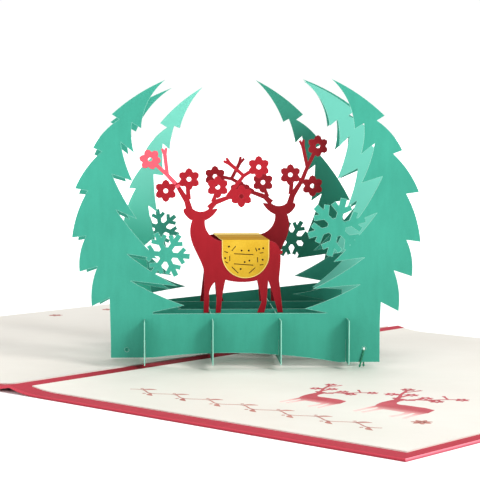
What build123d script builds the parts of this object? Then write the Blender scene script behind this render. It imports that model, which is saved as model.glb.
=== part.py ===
from build123d import *
import math
import os
from typing import NamedTuple

os.makedirs("parts", exist_ok=True)

# Frame: X to the right, Y away from the viewer, Z up, origin on the table below the middle of the fold.
# The card lies open with its fold along the diagonal (1, 1); the paper lattice stands square to X and Y.

# Card: both panels curve up to the fold, where a band of the cover shows between the liners
FOLD_LENGTH = 200.0
PANEL_WIDTH = 150.0
COVER_T = 0.9
LINER_T = 0.35
FOLD_RISE = 1.7
FOLD_REACH = 14.0
BAND_HALF = 4.0
NEAR_BORDER = 6.0
FAR_BORDER = 1.2
RIGHT_BORDER = 4.0
LEFT_BORDER = 1.2

# Lattice of interlocked paper strips, set a little to one side along the fold
LATTICE_SHIFT = 6.2
PAPER_T = 0.3
CELL = 22.5
SLOT_W = PAPER_T + 0.2
STRIP_FOOT = 2.9
ARCH_RISE = 2.3
STRIP_MID = 10.6
STRIP_END = 1.5 * CELL + 11.25
CROSS_FOOT = 3.2
CROSS_TOP = 17.8
CROSS_STUB = 8.0
FRONT_TOP = 19.5
FRONT_LIFT = 1.9
SECOND_TOP = 18.4
THIRD_TOP = 18.6
REAR_TOP_LEFT = 15.0
REAR_TOP_RIGHT = 24.5
HOLE_X = 1.5 * CELL + 5.95
HOLE_Z = 7.5
HOLE_R = 0.7
THREAD_R = 0.25

# Fir trees bent round a dome; a place on a fir is a depth inside the dome and an angle from its top
DOME_R = 58.1
DOME_SINK = 11.2
DOME_Z = DOME_R - DOME_SINK
OUTER_BULGE = 0.9
INNER_SWEEP = 0.5
CROWN_SWEEP = 1.9
TRUNK_IN = 1.5 * CELL - 2.75
CROWN = (0.6, 29.7)
LOW_CROWN = (16.4, 86.9)
SKIRT = (25.6, 141.8)
# One row a tier: outer tip depth and angle, outer notch depth, inner tip depth and angle,
# inner notch depth and angle
TIERS = (
    (-1.6, 50.5, 1.4, 8.8, 47.1, 5.2, 47.9),
    (-0.3, 62.9, 2.9, 12.2, 56.5, 6.4, 56.0),
    (-1.0, 77.4, 3.3, 16.4, 67.6, 9.1, 68.3),
    (-0.3, 93.5, 4.4, 21.2, 85.0, 13.8, 82.0),
    (0.6, 105.1, 6.9, 26.9, 108.8, 17.3, 102.2),
    (0.5, 117.4, 7.1, 28.5, 130.0, 15.8, 114.6),
)
# Firs whose lower barbs hang otherwise
SECOND_TIERS = TIERS[:2] + (
    (-1.0, 77.4, 3.3, 19.8, 69.4, 11.1, 69.5),
    (-0.3, 93.5, 4.4, 20.1, 86.1, 15.9, 83.8),
    (0.6, 105.1, 6.9, 25.7, 115.3, 18.6, 110.0),
    (0.5, 117.4, 7.1, 25.7, 140.1, 16.6, 130.8),
)
THIRD_TIERS = TIERS[:2] + (
    (-1.0, 77.4, 3.3, 15.4, 68.9, 8.7, 69.3),
    (-0.3, 93.5, 4.4, 15.4, 83.8, 12.9, 82.7),
    (0.6, 105.1, 6.9, 26.9, 108.8, 17.3, 102.2),
    (0.5, 117.4, 7.1, 29.1, 131.5, 16.8, 122.4),
)
THIRD_LEFT_TIERS = TIERS[:2] + (
    (-1.0, 76.3, 1.4, 16.4, 67.5, 10.4, 68.5),
    (-1.8, 91.7, 1.6, 18.4, 83.8, 12.3, 81.5),
    (0.6, 103.0, 2.0, 17.2, 94.6, 10.0, 97.8),
)
REAR_LOW_TIERS = (
    (0.6, 105.1, 6.9, 23.0, 104.3, 17.3, 109.1),
    (0.5, 117.4, 7.1, 24.3, 131.0, 17.2, 123.2),
)
REAR_TIERS = TIERS[:2] + (
    (-2.5, 84.7, 2.9, 16.4, 69.1, 9.3, 68.2),
    (-0.3, 96.5, 4.4, 19.2, 81.9, 11.7, 79.9),
    (0.6, 105.1, 3.0, 27.6, 109.2, 11.0, 104.9),
)


class Fir(NamedTuple):
    """One fir of the dome, by what sets it apart from the others."""

    side: int
    grow: float = 0.0
    shift: float = 0.0
    turn: float = 0.0
    drop: float = 0.0
    slim: float = 1.0
    crown: tuple = CROWN
    inset: float = 0.0

    def at(self, depth, angle):
        """Place on the fir's sheet, across and up."""
        a = math.radians(angle - self.turn)
        r = (DOME_R + self.grow) * (1 - depth / DOME_R)
        return (self.side * (r * math.sin(a) - self.shift), DOME_Z - self.drop + r * math.cos(a))


FRONT_RIGHT = Fir(1, grow=0.8, shift=0.6)
FRONT_LEFT = Fir(-1, grow=-0.7, turn=1.6)
SECOND_RIGHT = Fir(1, grow=-2.4, shift=-1.6, turn=7.6, crown=(-1.0, 29.5), inset=3.7)
SECOND_LEFT = Fir(-1, grow=-1.5, turn=-1.0, slim=0.85, crown=(2.9, 25.8))
THIRD_RIGHT = Fir(1, grow=2.6, shift=2.0, turn=5.3, drop=3.0, slim=1.1)
THIRD_LEFT = Fir(-1, grow=-0.3, shift=17.5, drop=0.9, slim=0.58, crown=(-1.6, 30.6))
REAR_RIGHT = Fir(1, grow=2.0, shift=19.2, turn=5.6, drop=4.2, slim=0.59, crown=(-1.9, 30.2))
REAR_LOW = Fir(-1, grow=-4.0, shift=4.0, turn=4.0, slim=0.85, crown=LOW_CROWN)
SECOND_LEAN = 12.0
THIRD_LEAN = 10.0
REAR_LEAN = -6.0

# Deer and saddle blanket
PETALS = 6
PETAL_TIP = 3.9
PETAL_SIDE = 3.5
PETAL_NOTCH = 2.75
EYE_R = 0.85
REAR_LIFT = 0.8
REAR_DROOP = 22.0
BRANCH_BEND = 24.0
BRANCH_TURN = 20.0
BLANKET_T = 0.25
BLANKET_X = 1.1
BLANKET_HALF = 8.2
BLANKET_TOP = 42.4
BLANKET_DROP = 13.2


# The lattice's own centre has this X and this Y
CENTRE = LATTICE_SHIFT / math.sqrt(2)


def across(y, x=0.0, z=0.0):
    """Upright plane across the view at depth y, with local y upward."""
    return Plane(origin=(CENTRE + x, CENTRE + y, z), x_dir=(1, 0, 0), z_dir=(0, -1, 0))


def behind(y, x=0.0, z=0.0):
    """Upright plane across the view that faces away from the viewer."""
    return Plane(origin=(CENTRE + x, CENTRE + y, z), x_dir=(-1, 0, 0), z_dir=(0, 1, 0))


def along(x):
    """Upright plane that runs away from the viewer at x, with local y upward."""
    return Plane(origin=(CENTRE + x, CENTRE, 0), x_dir=(0, 1, 0), z_dir=(1, 0, 0))


def leaning(y, hinge, lean):
    """Plane across the view that leans back by an angle above a hinge height."""
    a = math.radians(lean)
    facing = (0, -math.cos(a), math.sin(a))
    return Plane(origin=(CENTRE, CENTRE + y, hinge), x_dir=(1, 0, 0), z_dir=facing)


def fir(tree, base, tiers=TIERS, skirt=True, hinge=0.0):
    """Fir outline: barbed outer edge, barbed inner edge, and a trunk down to the base height."""

    def at(depth, angle):
        x, z = tree.at(depth, angle)
        return (x, z - hinge)

    foot_in = (tree.side * (TRUNK_IN + tree.inset), base - hinge)
    foot_out = (tree.side * (STRIP_END - 0.45 * tree.shift), base - hinge)
    with BuildLine() as edge:
        last = tiers[-1]
        here = foot_in
        for point in (foot_out, at(last[2], last[1]), at(last[0], last[1])):
            Line(here, point)
            here = point
        for upper in reversed(tiers[:-1]):
            notch = at(upper[2], upper[1] - 0.4)
            SagittaArc(here, notch, -tree.side * OUTER_BULGE)
            here = at(upper[0], upper[1])
            Line(notch, here)
        crown = at(*tree.crown)
        SagittaArc(here, crown, -tree.side * OUTER_BULGE)
        here = crown
        sweep = CROWN_SWEEP
        for tier in tiers:
            tip = at(tier[3] * tree.slim, tier[4])
            SagittaArc(here, tip, tree.side * sweep * tree.slim)
            here = at(tier[5] * tree.slim, tier[6])
            Line(tip, here)
            sweep = INNER_SWEEP
        if skirt:
            tip = at(SKIRT[0] * tree.slim, SKIRT[1])
            SagittaArc(here, tip, tree.side * sweep * tree.slim)
            here = (foot_in[0], max(tip[1] - 2.2, foot_in[1] + 0.4))
            Line(tip, here)
        Line(here, foot_in)
    make_face(edge.edges())


def snowflake(tree, depth, angle, r, turn, hinge=0.0):
    """Six-armed paper snowflake with forked arms, at a place on a fir."""
    w = 0.22 * r
    x, z = tree.at(depth, angle)
    with Locations((x, z - hinge)):
        RegularPolygon(0.36 * r, 6, rotation=turn)
        with PolarLocations(0, 6, turn):
            Rectangle(r, w, align=(Align.MIN, Align.CENTER))
            with Locations((0.52 * r, 0)):
                Rectangle(0.4 * r, 0.85 * w, rotation=52, align=(Align.MIN, Align.CENTER))
                Rectangle(0.4 * r, 0.85 * w, rotation=-52, align=(Align.MIN, Align.CENTER))


def strip_outline(top_left, top_right, lift=0.0):
    """Upright strip with a shallow arch in its lower edge; its left foot can stand higher."""
    left_foot = STRIP_FOOT + lift
    with BuildLine() as edge:
        Polyline((-TRUNK_IN, left_foot), (-STRIP_END, left_foot), (-STRIP_END, top_left))
        Polyline((-STRIP_END, top_left), (STRIP_END, top_right), (STRIP_END, STRIP_FOOT))
        Line((STRIP_END, STRIP_FOOT), (TRUNK_IN, STRIP_FOOT))
        arch = (0, STRIP_FOOT + lift / 2 + ARCH_RISE)
        ThreePointArc((TRUNK_IN, STRIP_FOOT), arch, (-TRUNK_IN, left_foot))
    make_face(edge.edges())


def strip_cuts():
    """Half-lap slots from the lower edge, and the two thread holes."""
    with Locations(*[((i - 1.5) * CELL, STRIP_MID) for i in range(4)]):
        Rectangle(SLOT_W, STRIP_MID, align=(Align.CENTER, Align.MAX), mode=Mode.SUBTRACT)
    with Locations((-HOLE_X, HOLE_Z), (HOLE_X, HOLE_Z)):
        RegularPolygon(HOLE_R, 8, major_radius=False, rotation=22.5, mode=Mode.SUBTRACT)


def ribbon(points, widths):
    """Tapered paper stem along a few points."""
    left = []
    right = []
    for i, (x, z) in enumerate(points):
        a = points[max(i - 1, 0)]
        b = points[min(i + 1, len(points) - 1)]
        d = math.hypot(b[0] - a[0], b[1] - a[1])
        nx = -(b[1] - a[1]) / d * widths[i] / 2
        nz = (b[0] - a[0]) / d * widths[i] / 2
        left.append((x + nx, z + nz))
        right.append((x - nx, z - nz))
    Polygon(*left, *reversed(right), align=None)


def swing(point, pivot, angle):
    """A point turned clockwise about a pivot."""
    a = math.radians(angle)
    x = point[0] - pivot[0]
    z = point[1] - pivot[1]
    return (pivot[0] + x * math.cos(a) + z * math.sin(a), pivot[1] - x * math.sin(a) + z * math.cos(a))


def flowers(*centres):
    """Paper flowers: broad pointed petals round a small hole."""
    step = 360 / PETALS
    rim = []
    for petal in range(PETALS):
        for r, part in ((PETAL_NOTCH, -0.5), (PETAL_SIDE, -0.26), (PETAL_TIP, 0), (PETAL_SIDE, 0.26)):
            a = math.radians(90 + step * (petal + part))
            rim.append((r * math.cos(a), r * math.sin(a)))
    with Locations(*centres):
        Polygon(*rim, align=None)
        RegularPolygon(EYE_R, 8, mode=Mode.SUBTRACT)


def twig(a, b):
    """Twig that ends in a small fishtail."""
    d = math.hypot(b[0] - a[0], b[1] - a[1])
    ux = (b[0] - a[0]) / d
    uz = (b[1] - a[1]) / d
    mid = (b[0] - 2.2 * ux, b[1] - 2.2 * uz)
    for side in (-0.75, 0.75):
        ribbon((a, mid, (b[0] - side * uz, b[1] + side * ux)), (1.2, 1.3, 0.8))


FORK = (-22.7, 61.5)
INNER_FORK = (-5.2, 57.4)


def deer_body(droop=0.0):
    """Side view of a standing deer that looks left; its inner antler branch can droop by an angle."""
    with BuildLine() as edge:
        Polyline((-13.4, 17.2), (-13.2, 31.1))
        Spline((-13.2, 31.1), (-14.0, 33.9), (-16.6, 39.5), (-17.4, 49.4))
        Spline((-17.4, 49.4), (-19.9, 51.3), (-20.4, 52.9), (-19.0, 53.4))
        Polyline((-19.0, 53.4), (-20.0, 56.4), (-18.2, 58.4))
        ThreePointArc((-18.2, 58.4), (-14.8, 52.3), (-10.2, 56.2))
        Polyline((-10.2, 56.2), (-8.8, 55.0), (-11.0, 52.8))
        Spline((-11.0, 52.8), (-9.8, 53.3), (-8.5, 53.3))
        Spline((-8.5, 53.3), (-10.0, 51.2), (-13.0, 49.2))
        Spline((-13.0, 49.2), (-12.7, 46.6), (-11.0, 43.9), (-6.7, 42.1))
        Line((-6.7, 42.1), (9.2, 42.1))
        Spline((9.2, 42.1), (11.9, 41.0), (13.2, 37.7), (12.9, 27.7))
        Polyline((12.9, 27.7), (14.1, 17.2), (12.4, 17.2), (10.6, 23.7), (9.0, 28.3))
        Polyline((9.0, 28.3), (8.4, 20.5), (7.7, 17.2), (5.2, 17.2), (6.6, 20.8), (6.3, 24.1), (5.2, 28.4))
        Spline((5.2, 28.4), (0.0, 27.8), (-5.9, 28.6))
        Polyline((-5.9, 28.6), (-7.0, 23.0), (-7.5, 17.2), (-9.2, 17.2), (-8.9, 23.7), (-9.4, 28.0))
        Spline((-9.4, 28.0), (-11.2, 25.4), (-11.5, 22.4))
        Polyline((-11.5, 22.4), (-11.7, 17.2), (-13.4, 17.2))
    make_face(edge.edges())
    with Locations((13.3, 38.2)):
        RegularPolygon(0.7, 8)
    ribbon(((-18.3, 52.8), (-19.2, 56.0), FORK, (-25.0, 60.2)), (2.4, 2.0, 1.5, 1.5))
    ribbon(((-18.6, 56.5), (-18.9, 60.2), (-18.5, 62.0)), (1.6, 1.5, 1.5))
    ribbon((FORK, (-20.0, 62.6)), (1.3, 1.3))
    ribbon(((-11.6, 53.4), (-9.3, 55.6), (-4.6, 57.3), (-2.0, 57.4)), (2.2, 1.8, 1.4, 1.6))
    ribbon(((-10.3, 55.6), (-9.2, 58.4), (-8.7, 60.0)), (1.4, 1.3, 1.3))
    stem = [swing(p, INNER_FORK, droop) for p in (INNER_FORK, (-2.1, 61.6), (0.4, 64.7), (4.0, 67.0))]
    ribbon(stem, (1.5, 1.3, 1.2, 1.3))
    twig(stem[2], swing((-6.1, 70.3), INNER_FORK, droop))
    top_flower = swing((5.6, 67.7), INNER_FORK, droop)
    flowers((-18.5, 63.5), (-26.5, 59.5), (-8.6, 60.8), (-0.4, 57.6), top_flower)


def deer_branch():
    """Upper branch of the left antler, with one flower and one twig."""
    ribbon((FORK, (-24.8, 66.7), (-27.6, 72.4)), (1.5, 1.3, 1.3))
    ribbon(((-22.2, 60.4), FORK), (1.5, 1.5))
    twig((-24.6, 66.2), (-22.5, 76.0))
    flowers((-28.4, 73.9))


def blanket_marks():
    """Punched dots and dashes, about the middle of the flap's upper edge."""
    dots = ((-5.8, -2.2), (-1.4, -3.6), (1.1, -3.6), (4.7, -3.1), (6.1, -2.8))
    dots += ((-7.1, -6.2), (-0.3, -7.6), (1.3, -7.1), (5.9, -6.8), (-1.7, -10.0))
    with Locations(*dots):
        RegularPolygon(0.38, 6, mode=Mode.SUBTRACT)
    dashes = (
        ((-4.8, -3.7), (-3.4, -2.0)), ((3.4, -2.6), (3.9, -3.9)), ((-7.4, -3.9), (-6.1, -4.3)),
        ((4.9, -4.5), (6.2, -4.3)), ((-4.0, -4.7), (2.7, -5.0)), ((-5.5, -5.4), (-5.5, -7.2)),
        ((4.1, -5.9), (4.2, -7.7)), ((-7.1, -7.4), (-6.0, -8.0)), ((4.9, -8.6), (6.2, -8.5)),
        ((-4.0, -8.2), (2.7, -8.7)), ((-4.8, -9.2), (-2.5, -11.5)), ((3.4, -9.5), (1.2, -11.5)),
    )
    for a, b in dashes:
        d = math.hypot(b[0] - a[0], b[1] - a[1])
        with Locations(((a[0] + b[0]) / 2, (a[1] + b[1]) / 2)):
            tilt = math.degrees(math.atan2(b[1] - a[1], b[0] - a[0]))
            Rectangle(d, 0.3, rotation=tilt, mode=Mode.SUBTRACT)


def flap():
    """Round-bottomed blanket flap that hangs from its upper edge."""
    with BuildLine() as edge:
        Line((BLANKET_HALF, 0), (-BLANKET_HALF, 0))
        Line((-BLANKET_HALF, 0), (-BLANKET_HALF, BLANKET_HALF * 0.9 - BLANKET_DROP))
        ThreePointArc(
            (-BLANKET_HALF, BLANKET_HALF * 0.9 - BLANKET_DROP),
            (0, -BLANKET_DROP),
            (BLANKET_HALF, BLANKET_HALF * 0.9 - BLANKET_DROP),
        )
        Line((BLANKET_HALF, BLANKET_HALF * 0.9 - BLANKET_DROP), (BLANKET_HALF, 0))
    make_face(edge.edges())
    blanket_marks()


FRONT_Y = -1.5 * CELL
SECOND_Y = -0.5 * CELL
THIRD_Y = 0.5 * CELL
REAR_Y = 1.5 * CELL
ACROSS_FOLD = Plane(origin=(0, 0, 0), x_dir=(1, -1, 0), z_dir=(-1, -1, 0))


def fold_height(u):
    """Height of the fold's curve at a distance from the fold: an arc that runs out into the flat panel."""
    radius = (FOLD_REACH**2 + FOLD_RISE**2) / (2 * FOLD_RISE)
    return radius - math.sqrt(radius**2 - (FOLD_REACH - u) ** 2)


def sheet_side(side, start, end, lift):
    """One face of a folded sheet in section, from the start distance over the curve to its outer end."""
    middle = (start + FOLD_REACH) / 2
    points = [(side * u, lift + fold_height(u)) for u in (start, middle, FOLD_REACH)]
    ThreePointArc(*points)
    Line(points[2], (side * end, lift))


# Red cover, one folded sheet
with BuildPart() as card_cover:
    with BuildSketch(ACROSS_FOLD):
        with BuildLine():
            for side in (-1, 1):
                sheet_side(side, 0, PANEL_WIDTH, 0)
                sheet_side(side, 0, PANEL_WIDTH, COVER_T)
                Line((side * PANEL_WIDTH, 0), (side * PANEL_WIDTH, COVER_T))
        make_face()
    extrude(amount=FOLD_LENGTH / 2, both=True)
card_cover.part.label = "card_cover"
export_step(card_cover.part, "parts/card_cover.step")


def liner_section(side, end):
    """Liner in section, laid on the cover from the band's edge to its outer end."""
    inner = COVER_T + fold_height(BAND_HALF)
    with BuildLine() as edge:
        sheet_side(side, BAND_HALF, end, COVER_T)
        sheet_side(side, BAND_HALF, end, COVER_T + LINER_T)
        Line((side * BAND_HALF, inner), (side * BAND_HALF, inner + LINER_T))
        Line((side * end, COVER_T), (side * end, COVER_T + LINER_T))
    make_face(edge.edges())


LINER_FAR_END = ACROSS_FOLD.offset(FAR_BORDER - FOLD_LENGTH / 2)
LINER_LENGTH = FOLD_LENGTH - NEAR_BORDER - FAR_BORDER

# Ivory liner on the near right panel
with BuildPart() as right_liner:
    with BuildSketch(LINER_FAR_END):
        liner_section(1, PANEL_WIDTH - RIGHT_BORDER)
    extrude(amount=LINER_LENGTH)
right_liner.part.label = "right_liner"
export_step(right_liner.part, "parts/right_liner.step")

# Ivory liner on the far left panel
with BuildPart() as left_liner:
    with BuildSketch(LINER_FAR_END):
        liner_section(-1, PANEL_WIDTH - LEFT_BORDER)
    extrude(amount=LINER_LENGTH)
left_liner.part.label = "left_liner"
export_step(left_liner.part, "parts/left_liner.step")

# Front sheet: strip, two firs and two snowflakes in one flat cut
with BuildPart() as front_tree_panel:
    with BuildSketch(across(FRONT_Y)):
        strip_outline(FRONT_TOP, FRONT_TOP, FRONT_LIFT)
        fir(FRONT_RIGHT, STRIP_MID)
        fir(FRONT_LEFT, STRIP_MID)
        snowflake(FRONT_RIGHT, 27.6, 87.5, 9.9, 16)
        snowflake(FRONT_LEFT, 30.1, 107.6, 7.9, -5)
        strip_cuts()
    extrude(amount=PAPER_T / 2, both=True)
front_tree_panel.part.label = "front_tree_panel"
export_step(front_tree_panel.part, "parts/front_tree_panel.step")

# Second sheet: its right fir leans back
with BuildPart() as second_tree_panel:
    with BuildSketch(across(SECOND_Y)):
        strip_outline(SECOND_TOP, SECOND_TOP)
        fir(SECOND_LEFT, STRIP_MID)
        strip_cuts()
    extrude(amount=PAPER_T / 2, both=True)
    with BuildSketch(leaning(SECOND_Y, SECOND_TOP, SECOND_LEAN)):
        fir(SECOND_RIGHT, SECOND_TOP - 0.5, SECOND_TIERS, skirt=False, hinge=SECOND_TOP)
    extrude(amount=PAPER_T / 2, both=True)
second_tree_panel.part.label = "second_tree_panel"
export_step(second_tree_panel.part, "parts/second_tree_panel.step")

# Third sheet: an upright fir on the right, and a slim one on the left that leans back
with BuildPart() as third_tree_panel:
    with BuildSketch(across(THIRD_Y)):
        strip_outline(THIRD_TOP, THIRD_TOP)
        fir(THIRD_RIGHT, STRIP_MID, THIRD_TIERS)
        strip_cuts()
    extrude(amount=PAPER_T / 2, both=True)
    with BuildSketch(leaning(THIRD_Y, THIRD_TOP, THIRD_LEAN)):
        fir(THIRD_LEFT, THIRD_TOP - 0.5, THIRD_LEFT_TIERS, skirt=False, hinge=THIRD_TOP)
    extrude(amount=PAPER_T / 2, both=True)
third_tree_panel.part.label = "third_tree_panel"
export_step(third_tree_panel.part, "parts/third_tree_panel.step")

# Rear sheet: hill-shaped strip, one slim fir that leans forward, a low fir and two snowflakes
with BuildPart() as rear_tree_panel:
    with BuildSketch(across(REAR_Y)):
        strip_outline(REAR_TOP_LEFT, REAR_TOP_RIGHT)
        fir(REAR_LOW, STRIP_MID, REAR_LOW_TIERS)
        snowflake(REAR_LOW, 23.4, 99.7, 7.2, -20)
        strip_cuts()
    extrude(amount=PAPER_T / 2, both=True)
    with BuildSketch(leaning(REAR_Y, FRONT_TOP, REAR_LEAN)):
        fir(REAR_RIGHT, FRONT_TOP - 0.5, REAR_TIERS, skirt=False, hinge=FRONT_TOP)
        snowflake(REAR_RIGHT, 19.4, 99.4, 7.4, 0, hinge=FRONT_TOP)
    extrude(amount=PAPER_T / 2, both=True)
rear_tree_panel.part.label = "rear_tree_panel"
export_step(rear_tree_panel.part, "parts/rear_tree_panel.step")


def cross_outline():
    """Plain cross strip with half-lap slots from its upper edge."""
    reach = 1.5 * CELL + CROSS_STUB
    with Locations((0, CROSS_FOOT)):
        Rectangle(2 * reach, CROSS_TOP - CROSS_FOOT, align=(Align.CENTER, Align.MIN))
    with Locations(*[((i - 1.5) * CELL, STRIP_MID) for i in range(4)]):
        Rectangle(SLOT_W, CROSS_TOP, align=(Align.CENTER, Align.MIN), mode=Mode.SUBTRACT)


# Four cross strips
with BuildPart() as cross_strip_1:
    with BuildSketch(along(-1.5 * CELL)):
        cross_outline()
    extrude(amount=PAPER_T / 2, both=True)
cross_strip_1.part.label = "cross_strip_1"
export_step(cross_strip_1.part, "parts/cross_strip_1.step")

with BuildPart() as cross_strip_2:
    with BuildSketch(along(-0.5 * CELL)):
        cross_outline()
    extrude(amount=PAPER_T / 2, both=True)
cross_strip_2.part.label = "cross_strip_2"
export_step(cross_strip_2.part, "parts/cross_strip_2.step")

with BuildPart() as cross_strip_3:
    with BuildSketch(along(0.5 * CELL)):
        cross_outline()
    extrude(amount=PAPER_T / 2, both=True)
cross_strip_3.part.label = "cross_strip_3"
export_step(cross_strip_3.part, "parts/cross_strip_3.step")

with BuildPart() as cross_strip_4:
    with BuildSketch(along(1.5 * CELL)):
        cross_outline()
    extrude(amount=PAPER_T / 2, both=True)
cross_strip_4.part.label = "cross_strip_4"
export_step(cross_strip_4.part, "parts/cross_strip_4.step")

# Upper antler branch, drawn flat; on the front deer it is bent back at the fork
with BuildPart() as flat_branch:
    with BuildSketch(Plane.XZ):
        deer_branch()
    extrude(amount=PAPER_T / 2, both=True)

# Front deer, glued by its feet to the face of the second sheet
DEER_Y = SECOND_Y - PAPER_T
with BuildPart() as front_deer:
    with BuildSketch(across(DEER_Y)):
        deer_body()
    extrude(amount=PAPER_T / 2, both=True)
    hinge = Axis((FORK[0], 0, FORK[1]), (0.93, 0, 0.37))
    turned = flat_branch.part.rotate(Axis((FORK[0], 0, FORK[1]), (0, -1, 0)), BRANCH_TURN)
    add(Pos(CENTRE, CENTRE + DEER_Y, 0) * turned.rotate(hinge, -BRANCH_BEND))
front_deer.part.label = "front_deer"
export_step(front_deer.part, "parts/front_deer.step")

# Rear deer, the mirror image, on the back of the third sheet
with BuildPart() as rear_deer:
    with BuildSketch(behind(THIRD_Y + PAPER_T, z=REAR_LIFT)):
        deer_body(REAR_DROOP)
        deer_branch()
    extrude(amount=PAPER_T / 2, both=True)
rear_deer.part.label = "rear_deer"
export_step(rear_deer.part, "parts/rear_deer.step")

# Saddle blanket: one sheet over both backs, with a flap on each side
FLAP_Y = 0.5 * CELL + 1.5 * PAPER_T + BLANKET_T / 2
with BuildPart() as saddle_blanket:
    with BuildSketch(across(-FLAP_Y, BLANKET_X, BLANKET_TOP)):
        flap()
    extrude(amount=BLANKET_T / 2, both=True)
    with BuildSketch(behind(FLAP_Y, -BLANKET_X, BLANKET_TOP + REAR_LIFT)):
        flap()
    extrude(amount=BLANKET_T / 2, both=True)
    rise = REAR_LIFT / (2 * FLAP_Y)
    edge_y = FLAP_Y + BLANKET_T / 2
    middle = (CENTRE, CENTRE, BLANKET_TOP + REAR_LIFT / 2)
    with BuildSketch(Plane(origin=middle, x_dir=(1, 0, 0), z_dir=(0, -rise, 1))):
        Polygon(
            (BLANKET_X - BLANKET_HALF, -edge_y),
            (BLANKET_X + BLANKET_HALF, -edge_y),
            (-BLANKET_X + BLANKET_HALF, edge_y),
            (-BLANKET_X - BLANKET_HALF, edge_y),
            align=None,
        )
    extrude(amount=BLANKET_T / 2, both=True)
saddle_blanket.part.label = "saddle_blanket"
export_step(saddle_blanket.part, "parts/saddle_blanket.step")


def tie(x, y, side):
    """Thread that rises from the liner, passes the trunk's hole and goes down on the other face."""
    foot = COVER_T + LINER_T
    start = foot - THREAD_R
    out = PAPER_T / 2 + THREAD_R + 0.05
    crest = HOLE_Z - HOLE_R + THREAD_R + 0.02
    with BuildLine() as route:
        Polyline(
            (x - side * 1.6, y - side * (out + 0.6), start),
            (x, y - side * out, crest),
            (x, y + side * out, crest),
            (x, y + side * (out + 0.4), start),
        )
    with BuildSketch(Plane(origin=route.line @ 0, z_dir=route.line % 0)) as ring:
        RegularPolygon(THREAD_R, 6)
    sweep(sections=ring.sketch, path=route.line, transition=Transition.RIGHT)
    split(bisect_by=Plane.XY.offset(foot), keep=Keep.TOP)


# Thread ties that hold the lattice to the card
with BuildPart() as right_tie:
    tie(CENTRE + HOLE_X, CENTRE + FRONT_Y, 1)
right_tie.part.label = "right_tie"
export_step(right_tie.part, "parts/right_tie.step")

with BuildPart() as left_tie:
    tie(CENTRE - HOLE_X, CENTRE + REAR_Y, -1)
left_tie.part.label = "left_tie"
export_step(left_tie.part, "parts/left_tie.step")
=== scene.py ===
import math

import bpy
import numpy as np
from mathutils import Matrix, Vector


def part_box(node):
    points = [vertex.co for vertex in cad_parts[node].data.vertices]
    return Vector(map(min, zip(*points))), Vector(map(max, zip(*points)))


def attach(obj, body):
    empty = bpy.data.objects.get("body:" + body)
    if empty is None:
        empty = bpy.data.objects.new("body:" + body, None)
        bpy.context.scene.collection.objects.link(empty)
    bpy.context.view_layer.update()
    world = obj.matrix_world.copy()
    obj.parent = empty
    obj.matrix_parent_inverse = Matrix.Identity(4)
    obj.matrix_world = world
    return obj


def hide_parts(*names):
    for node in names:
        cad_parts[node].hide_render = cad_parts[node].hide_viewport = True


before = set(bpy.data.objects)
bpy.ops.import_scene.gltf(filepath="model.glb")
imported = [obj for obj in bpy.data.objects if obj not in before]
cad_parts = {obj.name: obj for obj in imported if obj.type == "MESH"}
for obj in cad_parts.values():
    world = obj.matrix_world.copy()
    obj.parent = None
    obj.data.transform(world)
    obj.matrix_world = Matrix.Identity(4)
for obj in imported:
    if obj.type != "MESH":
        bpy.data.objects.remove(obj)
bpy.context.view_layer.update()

# Everything is in metres in the CAD frame: X right, Y away from the viewer, Z up, the fold along (1, 1)
MM = 0.001
BODY = "root"
DIAGONAL = math.sqrt(0.5)
COVER_T = 0.9 * MM
LINER_T = 0.35 * MM
LINER_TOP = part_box("right_liner")[0].z + LINER_T
TIE_HOLE_Z = 7.5 * MM

# Camera, set to the photo's view
CAMERA_PLACE = (-25.76 * MM, -566.10 * MM, 82.69 * MM)
CAMERA_YAW = math.radians(3.001)
CAMERA_PITCH = math.radians(4.112)
CAMERA_ROLL = math.radians(0.096)
CAMERA_LENS = 121.49
CAMERA_CLIP = 0.01


def srgb(red, green, blue):
    """Linear colour of an 8-bit screen colour."""
    screen = np.array((red, green, blue)) / 255.0
    linear = np.where(screen <= 0.04045, screen / 12.92, ((screen + 0.055) / 1.055) ** 2.4)
    return (*(float(c) for c in linear), 1.0)


class Wire:
    """A shader socket for arithmetic: each operation adds one Math node, and node() adds any other."""

    def __init__(self, tree, socket=None):
        self.tree = tree
        self.socket = socket

    def node(self, kind, settings=None, sockets=None, output=0):
        """Adds a node of a kind, with its settings first, then the values or links of its sockets."""
        made = self.tree.nodes.new(kind)
        for name, value in (settings or {}).items():
            setattr(made, name, value)
        for name, value in (sockets or {}).items():
            if isinstance(value, Wire):
                self.tree.links.new(value.socket, made.inputs[name])
            else:
                made.inputs[name].default_value = value
        return Wire(self.tree, made.outputs[output])

    def math(self, operation, first, second=0.0):
        return self.node("ShaderNodeMath", {"operation": operation}, {0: first, 1: second})

    def __add__(self, other):
        return self.math("ADD", self, other)

    def __radd__(self, other):
        return self.math("ADD", other, self)

    def __sub__(self, other):
        return self.math("SUBTRACT", self, other)

    def __rsub__(self, other):
        return self.math("SUBTRACT", other, self)

    def __mul__(self, other):
        return self.math("MULTIPLY", self, other)

    def __rmul__(self, other):
        return self.math("MULTIPLY", other, self)

    def __abs__(self):
        return self.math("ABSOLUTE", self)

    def smooth(self, low, high):
        """Smooth step from 0 at low to 1 at high."""
        settings = {"interpolation_type": "SMOOTHSTEP"}
        return self.node("ShaderNodeMapRange", settings, {"Value": self, "From Min": low, "From Max": high})

    def blend(self, low, high):
        """Colour that goes from low to high as this value goes from 0 to 1."""
        settings = {"data_type": "RGBA"}
        return self.node("ShaderNodeMix", settings, {0: self, 6: low, 7: high}, output=2)


def material(name):
    """New node material; gives the material, its shader and a wire to start from."""
    made = bpy.data.materials.new(name)
    made.use_nodes = True
    shader = made.node_tree.nodes["Principled BSDF"]
    return made, shader, Wire(made.node_tree)


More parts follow.
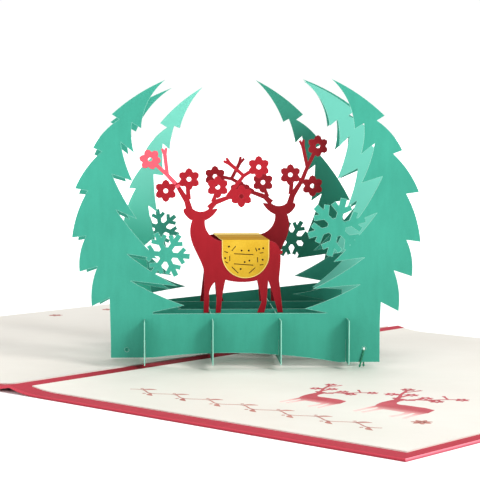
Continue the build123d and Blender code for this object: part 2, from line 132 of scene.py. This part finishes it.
def link(shader, socket, wire):
    wire.tree.links.new(wire.socket, shader.inputs[socket])


def bumped(shader, wire, height, strength, distance):
    """Gives the shader a fine relief, its distance in millimetres."""
    sockets = {"Height": height, "Strength": strength, "Distance": distance * MM}
    link(shader, "Normal", wire.node("ShaderNodeBump", sockets=sockets))


def place(wire):
    """Object coordinates."""
    return wire.node("ShaderNodeTexCoord", output="Object")


def place_part(wire, axis):
    """One of the three Object coordinates."""
    return wire.node("ShaderNodeSeparateXYZ", sockets={0: place(wire)}, output=axis)


def normal_part(wire, axis):
    """One part of the face's own direction in the frame, from -1 to 1."""
    normal = wire.node("ShaderNodeTexCoord", output="Normal")
    return wire.node("ShaderNodeSeparateXYZ", sockets={0: normal}, output=axis)


def length(wire, vector):
    return wire.node("ShaderNodeVectorMath", {"operation": "LENGTH"}, {0: vector}, output="Value")


def stretched(wire, scale, turn=(0.0, 0.0, 0.0)):
    """Object coordinates scaled by axis and then turned, for long fibres."""
    return wire.node("ShaderNodeMapping", sockets={"Vector": place(wire), "Scale": scale, "Rotation": turn})


def noise(wire, where, scale, detail=2.0, roughness=0.5):
    sockets = {"Vector": where, "Scale": scale, "Detail": detail, "Roughness": roughness}
    return wire.node("ShaderNodeTexNoise", sockets=sockets)


def across_and_along(wire):
    """Distances in metres square to the fold and along it, for a point of the card."""
    x = place_part(wire, 0)
    y = place_part(wire, 1)
    return (x - y) * DIAGONAL, (x + y) * DIAGONAL


# Painted highlight on a pale rim beside a cut edge: its width, its share of the colour, and how far the
# rounded face turns there
RIM_W = 0.3 * MM
RIM_HIGHLIGHT_SHARE = 0.75
RIM_TURN = (0.75, 0.98)
RIM_SAMPLES = 6


def near_edge(wire):
    """1 beside a cut edge and 0 inside the sheet: how far a rounding of the rim's width turns the face."""
    rounded = wire.node("ShaderNodeBevel", {"samples": RIM_SAMPLES}, {"Radius": RIM_W})
    face = wire.node("ShaderNodeNewGeometry", output="Normal")
    settings = {"operation": "DOT_PRODUCT"}
    same = wire.node("ShaderNodeVectorMath", settings, {0: rounded, 1: face}, output="Value")
    return 1.0 - same.smooth(*RIM_TURN)


# Blanket flaps: half the width, which is the round end's radius too, and the drop below the top.
# The rear flap is shifted by a step to the left and a lift upwards.
FLAP_HALF = 8.2 * MM
FLAP_DROP = 13.2 * MM
FLAP_STEP = 2.2 * MM
FLAP_LIFT = 0.8 * MM


def flap_place(wire):
    """Depth in from a blanket flap's round-ended edge, depth below its top, and 0 in front or 1 behind."""
    low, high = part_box("saddle_blanket")
    x, y, z = (place_part(wire, axis) for axis in range(3))
    behind = (y - (low.y + high.y) / 2).smooth(-MM, MM)
    side = x - (high.x - FLAP_HALF) + FLAP_STEP * behind
    height = z - low.z - FLAP_LIFT * behind
    below = wire.math("MINIMUM", height - FLAP_HALF, 0.0)
    corner = wire.node("ShaderNodeCombineXYZ", sockets={0: side, 1: below})
    return FLAP_HALF - length(wire, corner), FLAP_DROP - height, behind


# Noise values that make the range of tones, and scales of long fibres by axis
TONE_RANGE = (0.3, 0.7)
UPRIGHT_FIBRE = (420.0, 420.0, 90.0)
FLAT_FIBRE = (110.0, 300.0, 420.0)

# Parts of a face's direction over which it counts as leaning back (painted light), leaning forward (painted
# shade) or being a cut edge
LEAN_LIT = (0.04, 0.2)
LEAN_SHADED = (0.02, 0.11)
TURNED_AWAY = (0.35, 0.75)

# Heights over which a fir's painted shade lower down gives way to its upper tone, and depth of the painted
# shade under the blanket's cover
LOW_SHADE_HEIGHT = (30.0 * MM, 74.0 * MM)
FLAP_SHADE_DEPTH = (0.35 * MM, 0.6 * MM)


def paper(name, tones, face_axis, roughness, pearl, flap_shade=None, low_shade=None):
    """Coloured pearl paper: cloudy tone and fine fibres, painted light on a face that leans back and
    painted shade on one that leans forward, with pale cut edges where a face turns from its axis, and a
    painted highlight on the rim beside them.
    A deer gets painted shade where the blanket covers it, and a fir with a low shade tone gets painted
    shade lower down."""
    dark, light, lit_tone, shaded_tone, cut, rim = (srgb(*tone) for tone in tones)
    made, shader, wire = material(name)
    cloud = noise(wire, place(wire), 38.0, 3.0)
    grain = noise(wire, place(wire), 1500.0, 2.0)
    fibres = noise(wire, stretched(wire, UPRIGHT_FIBRE), 1.0, 3.0, 0.6)
    tone = (cloud * 0.5 + fibres * 0.35 + grain * 0.15).smooth(*TONE_RANGE)
    lean = normal_part(wire, 2)
    # Painted shade on a fir's lower part, in place of its painted light
    if low_shade:
        lit_tone = place_part(wire, 2).smooth(*LOW_SHADE_HEIGHT).blend(srgb(*low_shade), lit_tone)
    # Painted light where the face leans back, painted shade where it leans forward
    sheet = lean.smooth(*LEAN_LIT).blend(tone.blend(dark, light), lit_tone)
    sheet = (lean * -1.0).smooth(*LEAN_SHADED).blend(sheet, shaded_tone)
    # Painted shade on a deer under the blanket's flaps, seen through the flaps' holes
    if flap_shade:
        depth, fall, behind = flap_place(wire)
        outward = (normal_part(wire, 1) * (2.0 * behind - 1.0)).smooth(0.4, 0.6)
        under_flap_shade = wire.math("MINIMUM", depth, fall).smooth(*FLAP_SHADE_DEPTH) * outward
        sheet = under_flap_shade.blend(sheet, srgb(*flap_shade))
    edge = 1.0 - abs(normal_part(wire, face_axis)).smooth(*TURNED_AWAY)
    # Painted highlight on the pale rim beside cut edges
    sheet = (near_edge(wire) * RIM_HIGHLIGHT_SHARE).blend(sheet, rim)
    link(shader, "Base Color", edge.blend(sheet, cut))
    link(shader, "Roughness", roughness - 0.08 + 0.16 * grain + 0.1 * edge)
    bumped(shader, wire, fibres * 0.6 + grain * 0.4, 0.16, 0.06)
    shader.inputs["Metallic"].default_value = pearl
    shader.inputs["Specular IOR Level"].default_value = 0.2
    return made


# Screen colours of a paper: dark and light tone, painted light leaning back, painted shade leaning forward,
# cut edge, painted highlight of the rim beside it
GREEN = ((53, 143, 123), (60, 155, 134), (100, 182, 164), (50, 134, 113), (146, 206, 187), (180, 226, 211))
RED = ((150, 18, 30), (164, 24, 37), (248, 92, 108), (136, 16, 27), (180, 52, 62), (196, 70, 80))
# The rear deer's copy of the red, deeper as painted shade
SHADED_RED = ((130, 15, 25), (142, 20, 31), (248, 92, 108), (120, 13, 22), (164, 48, 58), (176, 60, 70))
# The third sheet's copy of the green: stronger painted light where it leans back, and painted shade on its
# fir lower down
THIRD_LIT_GREEN = (116, 204, 184)
THIRD_LIT_TONES = (*GREEN[:2], THIRD_LIT_GREEN, *GREEN[3:])
LOW_SHADE_GREEN = (62, 178, 150)
# Painted shade of a deer under the blanket
FLAP_SHADE_RED = (44, 10, 10)

# Roughness and pearl of the two kinds of paper
GREEN_GLOSS = (0.38, 0.4)
RED_GLOSS = (0.42, 0.3)


def tree_paper():
    """Green paper of the sheets across the view."""
    return paper("tree_paper", GREEN, 1, *GREEN_GLOSS)


def third_lit_paper():
    """The green paper of the third sheet, with stronger painted light on its slim leaning fir and painted
    shade lower down.
    """
    return paper("third_lit_paper", THIRD_LIT_TONES, 1, *GREEN_GLOSS, low_shade=LOW_SHADE_GREEN)


def strip_paper():
    """The same green paper on the strips that run away from the viewer."""
    return paper("strip_paper", GREEN, 0, *GREEN_GLOSS)


def deer_paper():
    """Red paper of the front deer."""
    return paper("deer_paper", RED, 1, *RED_GLOSS, flap_shade=FLAP_SHADE_RED)


def rear_deer_shaded_paper():
    """The red paper of the rear deer, in deeper tones as painted shade."""
    return paper("rear_deer_shaded_paper", SHADED_RED, 1, *RED_GLOSS, flap_shade=FLAP_SHADE_RED)


# Blanket: tones, and the depths at which a flap's painted highlight along its rim and the painted highlight
# on the rear flap's bend end
BLANKET_DARK = srgb(204, 160, 42)
BLANKET_LIGHT = srgb(216, 176, 56)
BLANKET_TOP = srgb(164, 122, 24)
BLANKET_PALE = srgb(246, 226, 140)
FLAP_RIM_HIGHLIGHT = (0.12 * MM, 0.36 * MM)
FLAP_BEND_HIGHLIGHT = (0.0, 0.2 * MM)


def blanket_paper():
    """Yellow paper with a slightly darker grain, deeper gold on top, pale cut sides, and painted highlights
    along the flaps' rims and the rear flap's bend.
    """
    made, shader, wire = material("blanket_paper")
    cloud = noise(wire, place(wire), 120.0, 3.0)
    grain = noise(wire, place(wire), 1600.0, 2.0)
    tone = (cloud * 0.6 + grain * 0.4).smooth(*TONE_RANGE)
    depth, fall, behind = flap_place(wire)
    # Painted highlights: a pale rim inside each flap's edge, and a pale line along the rear flap's bend
    rim = (1.0 - depth.smooth(*FLAP_RIM_HIGHLIGHT)) * 0.7
    bend_highlight = behind * (1.0 - fall.smooth(*FLAP_BEND_HIGHLIGHT)) * 0.6
    flap = rim.blend(tone.blend(BLANKET_DARK, BLANKET_LIGHT), BLANKET_PALE)
    top = bend_highlight.blend(BLANKET_TOP, BLANKET_PALE)
    sheet = normal_part(wire, 2).smooth(0.4, 0.8).blend(flap, top)
    side = abs(normal_part(wire, 0)).smooth(0.5, 0.8)
    link(shader, "Base Color", side.blend(sheet, BLANKET_PALE))
    link(shader, "Roughness", 0.5 + 0.15 * grain)
    bumped(shader, wire, grain, 0.12, 0.05)
    shader.inputs["Specular IOR Level"].default_value = 0.03
    return made


# Liner: tones, and the turn of its fibres' noise
LINER_DARK = srgb(211, 206, 197)
LINER_LIGHT = srgb(218, 214, 206)
LINER_TURN = (0.0, 0.0, math.radians(45))


def liner_paper():
    """Ivory paper: faint clouds, flecks and fibres, with a soft gloss."""
    made, shader, wire = material("liner_paper")
    cloud = noise(wire, place(wire), 22.0, 3.0)
    grain = noise(wire, place(wire), 1300.0, 2.0)
    fibres = noise(wire, stretched(wire, FLAT_FIBRE, LINER_TURN), 1.0, 3.0, 0.6)
    tone = (cloud * 0.65 + fibres * 0.15 + grain * 0.2).smooth(*TONE_RANGE)
    link(shader, "Base Color", tone.blend(LINER_DARK, LINER_LIGHT))
    link(shader, "Roughness", 0.42 + 0.16 * grain)
    bumped(shader, wire, fibres * 0.3 + grain * 0.7, 0.06, 0.05)
    return made


# Cover: tones of the card and the painted shade of its crease, and each cut edge's colour at the bottom and
# at the top, with painted light and shade
COVER_DARK = srgb(156, 32, 50)
COVER_LIGHT = srgb(170, 42, 60)
CREASE_SHADE = srgb(130, 18, 34)
# Left edges get painted shade and right ones painted light, each lighter at the top as a painted highlight
LEFT_CUT_SHADED = (srgb(140, 30, 44), srgb(188, 58, 74))
RIGHT_CUT_LIT = (srgb(170, 66, 82), srgb(224, 128, 142))

# Painted shade of the crease, deepest under the pop-up: where it ends across the fold, its middle and ends
# along the fold
CREASE_SHADE_ACROSS = (4.5 * MM, 6.0 * MM)
CREASE_SHADE_MIDDLE = -12.0 * MM
CREASE_SHADE_ALONG = (34.0 * MM, 72.0 * MM)


def cover_card():
    """Red card of the cover, with a paler pressed grain, painted shade along the crease and pink cut edges
    with painted light and shade.
    """
    made, shader, wire = material("cover_card")
    cloud = noise(wire, place(wire), 30.0, 3.0)
    grain = noise(wire, place(wire), 900.0, 3.0)
    tone = (cloud * 0.5 + grain * 0.5).smooth(*TONE_RANGE)
    across, along = across_and_along(wire)
    # Painted shade along the fold under the pop-up, deepest in its middle
    near_fold = 1.0 - abs(across).smooth(*CREASE_SHADE_ACROSS)
    mid_fold = 1.0 - abs(along - CREASE_SHADE_MIDDLE).smooth(*CREASE_SHADE_ALONG)
    card = (near_fold * mid_fold).blend(tone.blend(COVER_DARK, COVER_LIGHT), CREASE_SHADE)
    # Cut edges: the card's pink edge, with painted shade facing left, painted light facing right and a
    # painted highlight towards the top
    rise = place_part(wire, 2).smooth(0.0, COVER_T)
    right = normal_part(wire, 0).smooth(-0.4, 0.4)
    cut = right.blend(rise.blend(*LEFT_CUT_SHADED), rise.blend(*RIGHT_CUT_LIT))
    side = 1.0 - abs(normal_part(wire, 2)).smooth(*TURNED_AWAY)
    link(shader, "Base Color", side.blend(card, cut))
    link(shader, "Roughness", 0.55 + 0.2 * grain)
    bumped(shader, wire, grain, 0.2, 0.08)
    shader.inputs["Specular IOR Level"].default_value = 0.25
    return made


# Thread: tones, scale and turn of its hairs, and the white near the hole with the heights over which it
# begins
THREAD_DARK = srgb(18, 96, 70)
THREAD_LIGHT = srgb(40, 140, 104)
THREAD_HAIR = (5200.0, 5200.0, 1400.0)
THREAD_TURN = (0.6, 0.0, 0.6)
HOLE_WHITE = srgb(244, 246, 242)
HOLE_WHITE_HEIGHT = (TIE_HOLE_Z - 0.5 * MM, TIE_HOLE_Z - 0.3 * MM)


def thread():
    """Dark green cotton thread with fine hairs, white at the top where it bends in the hole."""
    made, shader, wire = material("thread")
    hairs = noise(wire, stretched(wire, THREAD_HAIR, THREAD_TURN), 1.0, 3.0)
    green = hairs.smooth(*TONE_RANGE).blend(THREAD_DARK, THREAD_LIGHT)
    whitened = place_part(wire, 2).smooth(*HOLE_WHITE_HEIGHT)
    link(shader, "Base Color", whitened.blend(green, HOLE_WHITE))
    link(shader, "Roughness", 0.75 + 0.15 * hairs)
    bumped(shader, wire, hairs, 0.4, 0.05)
    return made


# Inks: full and thin colour, and the colour of a faded print
DEER_INK = (srgb(160, 40, 54), srgb(182, 68, 80))
SPRIG_INK = (srgb(158, 84, 76), srgb(182, 122, 110))
FADED_INK = srgb(232, 186, 182)


def ink(name, full, thin, fade=None):
    """Flat print ink that lets a little of the paper through in flecks. It can fade out towards the viewer,
    between two places along the fold in millimetres."""
    made, shader, wire = material(name)
    cloud = noise(wire, place(wire), 160.0, 3.0)
    fleck = noise(wire, place(wire), 2400.0, 2.0)
    tone = (cloud * 0.6 + fleck * 0.4).smooth(0.34, 0.66)
    colour = tone.blend(thin, full)
    if fade:
        _, along = across_and_along(wire)
        colour = along.smooth(fade[0] * MM, fade[1] * MM).blend(FADED_INK, colour)
    link(shader, "Base Color", colour)
    link(shader, "Roughness", 0.5 + 0.2 * fleck)
    return made


def dress(finish, *nodes):
    """Gives a finish to CAD nodes."""
    for name in nodes:
        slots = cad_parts[name].data.materials
        slots.clear()
        slots.append(finish)


dress(tree_paper(), "front_tree_panel", "second_tree_panel", "rear_tree_panel")
dress(third_lit_paper(), "third_tree_panel")
dress(strip_paper(), "cross_strip_1", "cross_strip_2", "cross_strip_3", "cross_strip_4")
dress(deer_paper(), "front_deer")
dress(rear_deer_shaded_paper(), "rear_deer")
dress(blanket_paper(), "saddle_blanket")
dress(liner_paper(), "right_liner", "left_liner")
dress(cover_card(), "card_cover")


def smooth_path(points, count):
    """Samples of a smooth curve through the points: each span is a cubic blend of four neighbours."""
    p = np.asarray(points, float)
    p = np.vstack([2 * p[0] - p[1], p, 2 * p[-1] - p[-2]])
    t = np.linspace(0, len(points) - 1, count)
    i = np.minimum(t.astype(int), len(points) - 2)
    s = (t - i)[:, None]
    a, b, c, d = p[i], p[i + 1], p[i + 2], p[i + 3]
    square = 2 * a - 5 * b + 4 * c - d
    cube = 3 * b - a - 3 * c + d
    return 0.5 * (2 * b + (c - a) * s + square * s**2 + cube * s**3)


def directions(line):
    """Unit direction of a line at each of its points."""
    along = np.gradient(line, axis=0)
    return along / np.linalg.norm(along, axis=1, keepdims=True)


def ring_faces(rings, corners, closed=False):
    """Four-cornered faces from each ring of points to the next, and from last to first if closed."""
    corner = np.arange(corners)
    after = (corner + 1) % corners
    here = np.arange(rings if closed else rings - 1)[:, None] * corners
    ahead = (here + corners) % (rings * corners)
    return np.stack([here + corner, here + after, ahead + after, ahead + corner], axis=-1).reshape(-1, 4)


def mesh_object(name, points, faces, finish):
    """New object of points and four-cornered faces, in one finish."""
    mesh = bpy.data.meshes.new(name)
    mesh.from_pydata(points.tolist(), [], faces.tolist())
    mesh.materials.append(finish)
    piece = bpy.data.objects.new(name, mesh)
    bpy.context.scene.collection.objects.link(piece)
    return piece


def built(name, shapes, finish):
    """One piece from several closed shapes, each given as points and four-cornered faces."""
    starts = np.cumsum([0] + [len(points) for points, _ in shapes])
    points = np.vstack([points for points, _ in shapes])
    faces = np.vstack([quads + start for (_, quads), start in zip(shapes, starts)])
    piece = mesh_object(name, points, faces, finish)
    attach(piece, BODY)
    return piece


# Print on the liners, placed in millimetres on the near right panel:
# u runs square to the fold over that panel, v along the fold away from the viewer
INK_T = 0.03 * MM
INK_FOOT = 0.1 * INK_T


def on_panel(uv, height):
    """Points in the frame for panel places in millimetres, at a height above the liner in metres."""
    u = uv[..., 0] * MM
    v = uv[..., 1] * MM
    z = np.broadcast_to(LINER_TOP + height, u.shape)
    return np.stack([(u + v) * DIAGONAL, (v - u) * DIAGONAL, z], axis=-1)


def film_rings(one_side, other_side, top):
    """Four points round the ink's section at each place of its two sides, from its foot to its top."""
    corners = ((one_side, INK_FOOT), (one_side, top), (other_side, top), (other_side, INK_FOOT))
    return np.stack([on_panel(side, height) for side, height in corners], axis=1).reshape(-1, 3)


def stroke(points, widths, count=24, films=1.0):
    """Ink stroke: a flat oblong section, some films high, carried along a smooth path, while its width goes
    smoothly through the given ones."""
    line = smooth_path(points, count)
    half = smooth_path([(w, 0.0) for w in widths], count)[:, :1] / 2
    along = directions(line)
    across = np.stack([-along[:, 1], along[:, 0]], axis=1) * half
    last = 4 * (count - 1)
    caps = np.array([[3, 2, 1, 0], [last, last + 1, last + 2, last + 3]])
    rings = film_rings(line + across, line - across, INK_T * films)
    return rings, np.vstack([ring_faces(count, 4), caps])


# A flower's petal depth and the size of its eye, as shares of its radius
PETAL_DEPTH = 0.22
EYE_SHARE = 0.28


def rosette(centre, radius, petals=7, count=56):
    """Ink flower: a flat ring one film high, from a round open eye to a rim of radius r(1 + a cos(n t))."""
    t = np.linspace(0, 2 * np.pi, count, endpoint=False)
    circle = np.stack([np.cos(t), np.sin(t)], axis=1)
    rim = centre + radius * (1.0 + PETAL_DEPTH * np.cos(petals * t))[:, None] * circle
    eye = centre + EYE_SHARE * radius * circle
    return film_rings(eye, rim, INK_T), ring_faces(count, 4, closed=True)


# A standing deer in millimetres at the size of the paper deer, looking left with its feet at 17:
# the points of each stroke, and its width at each point
DEER_STROKES = (
    (
        ((12.6, 36.5), (7, 35.2), (0, 35), (-8, 35.6), (-12.6, 39.6), (-14.6, 45), (-15, 51)),
        (8, 13.4, 13.6, 13, 8, 5, 4),
    ),
    (((-12.5, 51.2), (-16, 51.6), (-20.2, 52.6)), (3.4, 3.6, 1.4)),
    (((-12.4, 51.2), (-10.2, 52.8), (-8.5, 53.3)), (2, 1.6, 0.6)),
    (((-12.3, 34), (-12.6, 26), (-12.6, 17.2)), (3, 2.2, 1.7)),
    (((-7.6, 31), (-8, 24), (-8.3, 17.2)), (3.4, 2, 1.7)),
    (((6.8, 31), (7.4, 23), (6.4, 17.2)), (3.4, 2, 2.3)),
    (((11.2, 33), (12, 25), (13.2, 17.2)), (4, 2.2, 1.7)),
    (((-18, 53), (-19.4, 56.5), (-22.7, 61.5), (-27.6, 72.4)), (2.2, 1.9, 1.5, 1.3)),
    (((-22.7, 61.5), (-24.2, 60.8), (-26, 59.7)), (1.5, 1.5, 1.5)),
    (((-18.7, 56.5), (-18.9, 60.2), (-18.5, 62.5)), (1.6, 1.5, 1.5)),
    (((-24.8, 66.7), (-23.6, 71), (-22.5, 76)), (1.2, 1.0, 1.6)),
    (((-11.8, 53), (-9, 55.8), (-4.6, 57.3), (-1, 57.5)), (2.2, 1.8, 1.4, 1.5)),
    (((-10.2, 55.6), (-9.2, 58.4), (-8.7, 60)), (1.4, 1.3, 1.3)),
    (((-5.2, 57.4), (-2.1, 61.6), (0.4, 64.7), (5, 67.4)), (1.5, 1.3, 1.2, 1.3)),
    (((0.4, 64.7), (-3, 67.6), (-6.1, 70.3)), (1.1, 1.0, 1.6)),
)
DEER_FLOWERS = ((-18.5, 63.5), (-26.5, 59.5), (-8.6, 60.8), (-0.4, 57.6), (5.6, 67.7), (-28.4, 73.9))
DEER_FLOWER_R = 2.9
DEER_MIDDLE = (0.0, 35.5)

# The first stroke's height in films; each later one is a little lower, so that no two tops lie in one plane
DEER_FILMS = 2.0
DEER_FILM_STEP = 0.05

# Printed deer: place of the body's middle, scale across and along the fold, and where the ink fades in
PRINTED_DEER = (
    ("left_deer", (83.2, -49.7), (0.56, 0.61), (-59.0, -50.0)),
    ("right_deer", (109.8, -45.0), (0.67, 0.71), (-54.5, -45.0)),
)


def deer_print(name, middle, scale, finish):
    """The printed deer: the strokes and flowers, scaled about the body's middle."""
    scale = np.asarray(scale)

    def put(point):
        return np.asarray(middle) + (np.asarray(point) - DEER_MIDDLE) * scale

    shapes = []
    for layer, (points, widths) in enumerate(DEER_STROKES):
        line = [put(p) for p in points]
        films = DEER_FILMS - DEER_FILM_STEP * layer
        shapes.append(stroke(line, np.array(widths) * scale.mean(), films=films))
    shapes += [rosette(put(p), DEER_FLOWER_R * scale.mean()) for p in DEER_FLOWERS]
    return built(name, shapes, finish)


for deer_name, deer_middle, deer_scale, deer_fade in PRINTED_DEER:
    deer_ink = ink(f"{deer_name}_ink", *DEER_INK, deer_fade)
    deer_print(f"{deer_name}_print", deer_middle, deer_scale, deer_ink)


# Ties of two-ply yarn, where the plain threads of the CAD run
TIE_R = 0.25 * MM
TIE_SHEET_T = 0.3 * MM
TIE_ROOM = 0.1 * MM
TIE_SAMPLES = 90
PLY_R = 0.2 * MM
PLY_OUT = 0.15 * MM
PLY_TURNS = 7
PLY_CORNERS = 8

# Faces that close the first end of a ply
PLY_CAP = np.array([(3, 2, 1, 0), (7, 4, 3, 0), (7, 6, 5, 4)])


def tie_route(node, side):
    """Middle line of a tie: a smooth path up from the liner, over the hole's lower edge and down behind."""
    low, high = (np.array(corner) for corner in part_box(node))
    x = high[0] - TIE_R if side > 0 else low[0] + TIE_R
    y = (low[1] + high[1]) / 2 + side * TIE_ROOM
    out = TIE_SHEET_T / 2 + PLY_OUT + PLY_R + TIE_ROOM
    foot = low[2] + 0.08 * MM
    steps = np.array([
        (-1.6 * MM, -out - 0.5 * MM, foot),
        (-0.9 * MM, -out - 0.2 * MM, foot + 2.6 * MM),
        (-0.1 * MM, -out, TIE_HOLE_Z - 0.6 * MM),
        (0.0, 0.0, TIE_HOLE_Z + 0.02 * MM),
        (0.0, out, TIE_HOLE_Z - 0.6 * MM),
        (0.0, out + 0.2 * MM, foot + 2.6 * MM),
        (0.0, out + 0.3 * MM, foot),
    ])
    steps[:, :2] = np.array([x, y]) + side * steps[:, :2]
    return smooth_path(steps, TIE_SAMPLES)


def ply(line, phase):
    """One ply: a round section, shut at both ends, carried along a helix about the middle line."""
    along = directions(line)
    first = np.cross(along, (1.0, 0.0, 0.0))
    first /= np.linalg.norm(first, axis=1, keepdims=True)
    second = np.cross(along, first)
    turn = np.linspace(0, 2 * np.pi * PLY_TURNS, len(line))[:, None] + phase
    core = line + PLY_OUT * (np.cos(turn) * first + np.sin(turn) * second)
    t = np.arange(PLY_CORNERS) * 2 * np.pi / PLY_CORNERS
    spread = np.cos(t)[:, None] * first[:, None] + np.sin(t)[:, None] * second[:, None]
    points = core[:, None] + PLY_R * spread
    far_cap = PLY_CAP[:, ::-1] + PLY_CORNERS * (len(line) - 1)
    return points.reshape(-1, 3), np.vstack([ring_faces(len(line), PLY_CORNERS), PLY_CAP, far_cap])


yarn = thread()
for tie_name, tie_node, tie_side in (("right_yarn", "right_tie", 1), ("left_yarn", "left_tie", -1)):
    tie_line = tie_route(tie_node, tie_side)
    tie_piece = built(tie_name, [ply(tie_line, 0.0), ply(tie_line, np.pi)], yarn)
    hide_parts(tie_node)


# A wavy sprig along the near edge; each leaf's bend and tip and each berry are measured from a crest
SPRIG_FROM = (27.0, -74.4)
SPRIG_TO = (122.8, -73.4)
SPRIG_WAVES = 7
SPRIG_SWING = 1.5
WAVE_STEPS = 8
STEM_W = 0.55
LEAF_BEND = (1.4, 2.0)
LEAF_TIP = (3.6, 2.9)
LEAF_WIDTHS = (0.5, 1.7, 0.3)
BERRY = (-1.3, 1.5)
BERRY_R = 0.55


def sprig(finish):
    """Sprig: a stem of even sine waves from end to end, with one leaf and one berry at each crest."""
    t = np.linspace(0, 1, WAVE_STEPS * SPRIG_WAVES + 1)
    base = np.asarray(SPRIG_FROM) + t[:, None] * np.subtract(SPRIG_TO, SPRIG_FROM)
    stem = base + np.stack([0 * t, SPRIG_SWING * np.sin(2 * np.pi * SPRIG_WAVES * t)], axis=1)
    shapes = [stroke(stem, np.full(len(stem), STEM_W), 180)]
    for index, crest in enumerate(stem[WAVE_STEPS // 4::WAVE_STEPS // 2]):
        up = (1, 1 if index % 2 == 0 else -1)
        leaf = [crest, crest + np.multiply(LEAF_BEND, up), crest + np.multiply(LEAF_TIP, up)]
        shapes.append(stroke(leaf, LEAF_WIDTHS, 14))
        shapes.append(rosette(crest + np.multiply(BERRY, up), BERRY_R, 5, 20))
    return built("sprig_print", shapes, finish)


# Small flowers at the panels' sides: a wide ring and a narrow one inside it
SMALL_FLOWERS = (
    ("right_flower_print", (125.7, -59.3)),
    ("left_flower_print", (-134.2, 37.8)),
    ("far_flower_print", (-133.5, 68.0)),
)
FLOWER_R = 2.6
FLOWER_EYE_R = 1.0

sprig_ink = ink("sprig_ink", *SPRIG_INK)
sprig(sprig_ink)
for flower_name, flower_place in SMALL_FLOWERS:
    flower = [rosette(flower_place, FLOWER_R), rosette(flower_place, FLOWER_EYE_R, 5, 20)]
    built(flower_name, flower, sprig_ink)


# Floor: radii of its rings, their corners, its height, its tones and the reach of its glow
FLOOR_RINGS = (0.0, 0.3, 1.0, 3.0, 9.0)
FLOOR_SPOKES = 48
FLOOR_Z = -0.02 * MM
FLOOR_DARK = (0.97, 0.97, 0.97, 1.0)
FLOOR_LIGHT = (0.99, 0.99, 0.99, 1.0)
FLOOR_GLOW = (0.7, 0.7, 0.7, 1.0)
FLOOR_GLOW_REACH = (0.2, 0.9)
BLACK = (0.0, 0.0, 0.0, 1.0)


def floor():
    """Plain pale floor: a wide disc from rings of points round the origin, glowing a little far out."""
    r, t = np.meshgrid(FLOOR_RINGS, np.linspace(0, 2 * np.pi, FLOOR_SPOKES + 1), indexing="ij")
    points = np.stack([r * np.cos(t), r * np.sin(t), np.full_like(r, FLOOR_Z)], axis=-1).reshape(-1, 3)
    rows, columns = r.shape
    start = (np.arange(rows - 1)[:, None] * columns + np.arange(columns - 1)).ravel()
    faces = np.stack([start, start + columns, start + columns + 1, start + 1], axis=1)
    made, shader, wire = material("floor_white")
    link(shader, "Base Color", noise(wire, place(wire), 6.0).blend(FLOOR_DARK, FLOOR_LIGHT))
    far = length(wire, place(wire)).smooth(*FLOOR_GLOW_REACH)
    link(shader, "Emission Color", far.blend(BLACK, FLOOR_GLOW))
    shader.inputs["Emission Strength"].default_value = 1.0
    shader.inputs["Roughness"].default_value = 0.9
    shader.inputs["Specular IOR Level"].default_value = 0.1
    mesh_object("floor", points, faces, made)


# Sky strength at the horizon and above it, and the rise of a direction over which it dims
SKY_HORIZON = 1.02
SKY_ABOVE = 0.42
SKY_RISE = (0.09, 0.24)

# The overhead light: its power, the angle it fills and its turn about X and Y
OVERHEAD_POWER = 1.7
OVERHEAD_ANGLE = math.radians(50.0)
OVERHEAD_TURN = (math.radians(-18.0), math.radians(7.0), 0.0)

# Softboxes: name, place, aim, size and power
KEY = ("key", (1.2, -1.4, 1.1), (0.0, 0.0, 0.06), 0.7, 36.0)
FILL = ("fill", (-1.2, -1.2, 0.8), (-0.06, 0.0, 0.05), 1.5, 16.0)


def sky(world):
    """Studio surround by direction: white at the horizon, dimmer above it."""
    wire = Wire(world.node_tree)
    direction = wire.node("ShaderNodeTexCoord", output="Generated")
    rise = wire.node("ShaderNodeSeparateXYZ", sockets={0: direction}, output=2).smooth(*SKY_RISE)
    back = world.node_tree.nodes["Background"]
    back.inputs["Color"].default_value = (1.0, 1.0, 1.0, 1.0)
    link(back, "Strength", SKY_HORIZON - (SKY_HORIZON - SKY_ABOVE) * rise)


def overhead():
    """Very soft light from above and a little in front, even over the whole floor."""
    lamp = bpy.data.lights.new("overhead", "SUN")
    lamp.energy = OVERHEAD_POWER
    lamp.angle = OVERHEAD_ANGLE
    sun = bpy.data.objects.new("overhead", lamp)
    sun.rotation_euler = OVERHEAD_TURN
    bpy.context.scene.collection.objects.link(sun)


def softbox(name, place_at, aim, size, power):
    """Square area light at a place, turned to a point."""
    lamp = bpy.data.lights.new(name, "AREA")
    lamp.size = size
    lamp.energy = power
    box = bpy.data.objects.new(name, lamp)
    box.location = place_at
    box.rotation_euler = (Vector(place_at) - Vector(aim)).to_track_quat("Z", "Y").to_euler()
    bpy.context.scene.collection.objects.link(box)


def studio():
    """White surround, a soft light overhead, a softbox at the front right and a weaker one at the left."""
    world = bpy.data.worlds.new("studio")
    world.use_nodes = True
    sky(world)
    bpy.context.scene.world = world
    bpy.context.scene.view_settings.view_transform = "Standard"
    overhead()
    softbox(*KEY)
    softbox(*FILL)


def camera():
    """Camera at the photo's place and angle."""
    lens = bpy.data.cameras.new("camera")
    lens.lens = CAMERA_LENS
    lens.clip_start = CAMERA_CLIP
    eye = bpy.data.objects.new("camera", lens)
    turn = Matrix.Rotation(-CAMERA_YAW, 4, "Z") @ Matrix.Rotation(math.pi / 2 - CAMERA_PITCH, 4, "X")
    eye.matrix_world = Matrix.Translation(CAMERA_PLACE) @ turn @ Matrix.Rotation(CAMERA_ROLL, 4, "Z")
    bpy.context.scene.collection.objects.link(eye)
    bpy.context.scene.camera = eye


floor()
studio()
camera()
